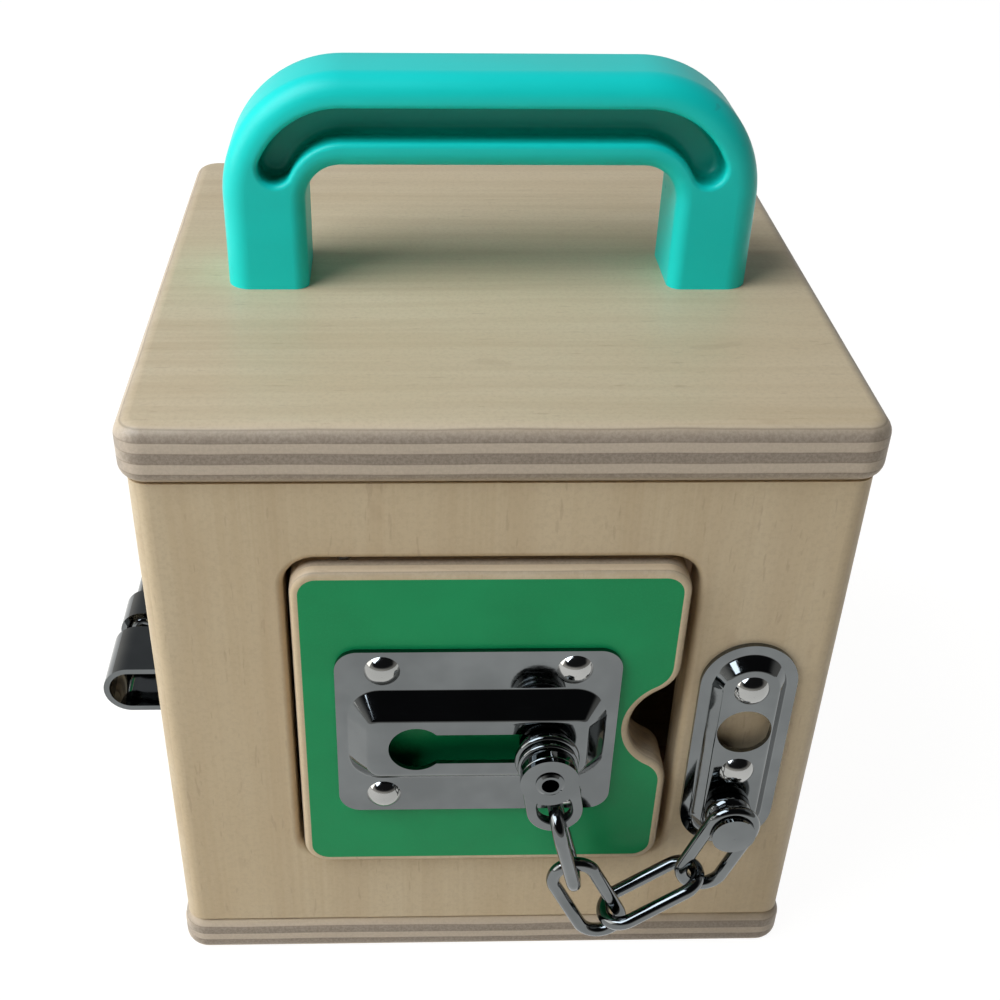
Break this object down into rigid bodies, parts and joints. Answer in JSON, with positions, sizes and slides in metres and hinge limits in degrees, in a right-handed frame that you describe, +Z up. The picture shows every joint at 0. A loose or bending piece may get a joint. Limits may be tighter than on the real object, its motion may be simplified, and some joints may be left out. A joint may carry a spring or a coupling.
{
  "type": "wooden lock box",
  "caption": "Small cubic plywood lock box for children with a carrying handle, a green front door held by a door chain, and a side door held by a sliding bolt.",
  "frame": {"origin": "middle of the underside of the base board, on the surface that the box stands on", "axes": "+Z up, the front with the door chain faces -Y, +X to the right as seen from the front"},
  "size_m": [0.1662, 0.1751, 0.1993],
  "materials": {
    "plywood": "pale birch plywood, clear satin lacquer",
    "beech": "plain planed beech",
    "green_sheet": "smooth green sheet, satin gloss",
    "handle_plastic": "moulded turquoise plastic, fine satin",
    "chrome": "polished plating",
    "steel": "zinc plated"
  },
  "bodies": {
    "case": {"base_panel": "plywood", "lid_panel": "plywood", "front_panel": "plywood", "back_panel": "plywood", "left_panel": "plywood", "right_panel": "plywood", "base_screws": "steel", "lid_dowels": "beech", "corner_dowels": "beech", "front_door_stops": "beech", "side_door_stops": "beech", "handle": "handle_plastic", "handle_screws": "steel", "chain_plate": "chrome", "chain_plate_rivets": "chrome", "bolt_keeper": "chrome", "keeper_screws": "steel"},
    "front_door": {"front_door": "plywood", "front_door_sheet": "green_sheet", "front_door_pins": "steel", "slot_plate": "chrome", "slot_plate_rivets": "chrome"},
    "slider": {"chain_slider": "chrome", "slider_washer": "chrome", "slider_eyelet": "chrome"},
    "bail": {"chain_bail": "chrome"},
    "link_1": {"chain_link_1": "chrome"},
    "link_2": {"chain_link_2": "chrome"},
    "link_3": {"chain_link_3": "chrome"},
    "link_4": {"chain_link_4": "chrome"},
    "stud": {"chain_stud": "chrome"},
    "side_door": {"side_door": "plywood", "side_door_sheet": "green_sheet", "side_door_pins": "steel", "bolt_plate": "chrome", "bolt_guides": "chrome", "bolt_plate_screws": "steel"},
    "bolt": {"bolt_rod": "chrome", "bolt_knob": "chrome"}
  },
  "joints": [
    {"name": "front_door_hinge", "type": "hinge", "parent": "case", "child": "front_door", "pos_m": [-0.0324, -0.0717, 0.0769], "axis": [0, 0, -1], "range_deg": [0, 100]},
    {"name": "slider_slide", "type": "slide", "parent": "front_door", "child": "slider", "axis": [-1, 0, 0], "range_m": [0, 0.0285]},
    {"name": "bail_swivel", "type": "hinge", "parent": "slider", "child": "bail", "pos_m": [0.011, -0.0926, 0.0763], "axis": [0, -1, 0], "range_deg": [0, 22.7]},
    {"name": "link_1_turn", "type": "hinge", "parent": "bail", "child": "link_1", "pos_m": [0.01272, -0.092, 0.06655], "axis": [0, -1, 0], "range_deg": [0, 4.06]},
    {"name": "link_2_turn", "type": "hinge", "parent": "link_1", "child": "link_2", "pos_m": [0.01925, -0.0896, 0.04035], "axis": [0, -1, 0], "range_deg": [-2.64, 0]},
    {"name": "link_3_turn", "type": "hinge", "parent": "link_2", "child": "link_3", "pos_m": [0.02583, -0.0889, 0.02743], "axis": [0, -1, 0], "range_deg": [-33.82, 0]},
    {"name": "link_4_turn", "type": "hinge", "parent": "link_3", "child": "link_4", "pos_m": [0.0502, -0.085, 0.03839], "axis": [0, -1, 0], "range_deg": [-28.83, 0]},
    {"name": "stud_turn", "type": "hinge", "parent": "link_4", "child": "stud", "pos_m": [0.05531, -0.085, 0.05196], "axis": [0, -1, 0], "range_deg": [0, 38.52]},
    {"name": "side_door_hinge", "type": "hinge", "parent": "case", "child": "side_door", "pos_m": [-0.0717, 0.0309, 0.0769], "axis": [0, 0, -1], "range_deg": [0, 100]},
    {"name": "bolt_slide", "type": "slide", "parent": "side_door", "child": "bolt", "axis": [0, -1, 0], "range_m": [0, 0.02]}
  ],
  "couplings": [
    {"joint": "bail_swivel", "follows": "slider_slide", "rad_per_m": 13.596},
    {"joint": "link_1_turn", "follows": "slider_slide", "rad_per_m": 2.1817},
    {"joint": "link_2_turn", "follows": "slider_slide", "rad_per_m": -1.309},
    {"joint": "link_3_turn", "follows": "slider_slide", "rad_per_m": -20.403},
    {"joint": "link_4_turn", "follows": "slider_slide", "rad_per_m": -17.349},
    {"joint": "stud_turn", "follows": "slider_slide", "rad_per_m": 23.283}
  ]
}
